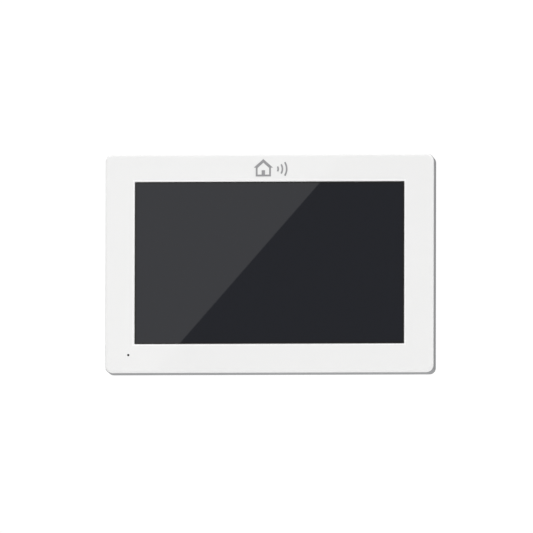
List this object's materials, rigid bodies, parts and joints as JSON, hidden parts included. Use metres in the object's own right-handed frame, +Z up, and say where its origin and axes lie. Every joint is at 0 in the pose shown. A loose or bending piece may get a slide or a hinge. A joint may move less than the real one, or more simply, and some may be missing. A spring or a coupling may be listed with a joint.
{
  "type": "video intercom monitor",
  "caption": "Wall-hung hands-free indoor video monitor: flat white rectangular front cover round a large dark touch display, grey rear housing that hangs on a steel hook bracket.",
  "frame": {"origin": "centre of the wall bracket's four-hole screw pattern, on the wall plane", "axes": "+Z up, +Y into the wall, +X to the right as seen by a person facing the screen, so the front faces -Y"},
  "size_m": [0.186, 0.0221, 0.1234],
  "materials": {
    "white_plastic": "glossy moulded ABS",
    "badge_ink": "satin printed transfer",
    "screen_glass": "dark glossy cover glass, unlit",
    "black_foam": "soft closed-cell foam",
    "sensor_film": "smooth film",
    "amber_flex": "satin polyimide film",
    "stamped_steel": "stamped zinc-plated sheet",
    "display_glass": "black polarised glass",
    "backlight_tray": "smooth white moulding",
    "screw_steel": "bright zinc plate",
    "board_green": "satin solder resist",
    "tinned_can": "tinned sheet",
    "chip_black": "fine matte epoxy",
    "coil_ferrite": "pressed ferrite",
    "capacitor_can": "satin can",
    "ivory_plastic": "fine matte nylon",
    "tinned_pins": "bright tin plate",
    "black_plastic": "fine matte",
    "plunger_white": "fine matte acetal",
    "black_rubber": "matte moulded rubber",
    "lead_insulation": "smooth vinyl insulation",
    "black_cloth": "fine acoustic mesh",
    "black_steel": "satin black coat",
    "cone_paper": "pressed black paper",
    "magnet_cap": "zinc-plated yoke",
    "coax_black": "smooth jacket",
    "grey_plastic": "fine spark-eroded texture",
    "label_paper": "plain satin label",
    "galvanised_steel": "galvanised sheet with a soft spangle"
  },
  "bodies": {
    "bracket": {"wall_bracket": "galvanised_steel"},
    "monitor": {"front_cover": "white_plastic", "front_badge": "badge_ink", "touch_glass": "screen_glass", "glass_tape": "black_foam", "touch_sensor": "sensor_film", "touch_flex": "amber_flex", "display_gasket": "black_foam", "display_bezel": "stamped_steel", "display_cell": "display_glass", "display_backlight": "backlight_tray", "display_flex": "amber_flex", "chassis_plate": "stamped_steel", "chassis_screws": "screw_steel", "main_board": "board_green", "board_screws": "screw_steel", "processor_shield": "tinned_can", "radio_module": "tinned_can", "board_chips": "chip_black", "power_coils": "coil_ferrite", "power_capacitors": "capacitor_can", "flex_sockets": "ivory_plastic", "lead_sockets": "ivory_plastic", "wiring_headers": "ivory_plastic", "header_pins": "tinned_pins", "card_socket": "tinned_can", "power_switch": "black_plastic", "reset_switch": "black_plastic", "microphone": "capacitor_can", "microphone_boot": "black_rubber", "microphone_lead": "lead_insulation", "speaker_cloth": "black_cloth", "speaker_gasket": "black_foam", "speaker_basket": "black_steel", "speaker_cone": "cone_paper", "speaker_magnet": "magnet_cap", "speaker_screws": "screw_steel", "speaker_lead": "lead_insulation", "radio_antenna": "amber_flex", "antenna_lead": "coax_black", "rear_housing": "grey_plastic", "housing_screws": "screw_steel", "wall_pads": "black_rubber", "rear_label": "label_paper"},
    "power_knob": {"power_knob": "black_plastic"},
    "reset_plunger": {"reset_plunger": "plunger_white"}
  },
  "joints": [
    {"name": "monitor_lift", "type": "slide", "parent": "bracket", "child": "monitor", "axis": [0, 0, 1], "range_m": [0, 0.009]},
    {"name": "power_slide", "type": "slide", "parent": "monitor", "child": "power_knob", "axis": [0, 0, 1], "range_m": [0, 0.002]},
    {"name": "reset_press", "type": "slide", "parent": "monitor", "child": "reset_plunger", "axis": [1, 0, 0], "range_m": [0, 0.0003], "stiffness_N_per_m": 400}
  ]
}
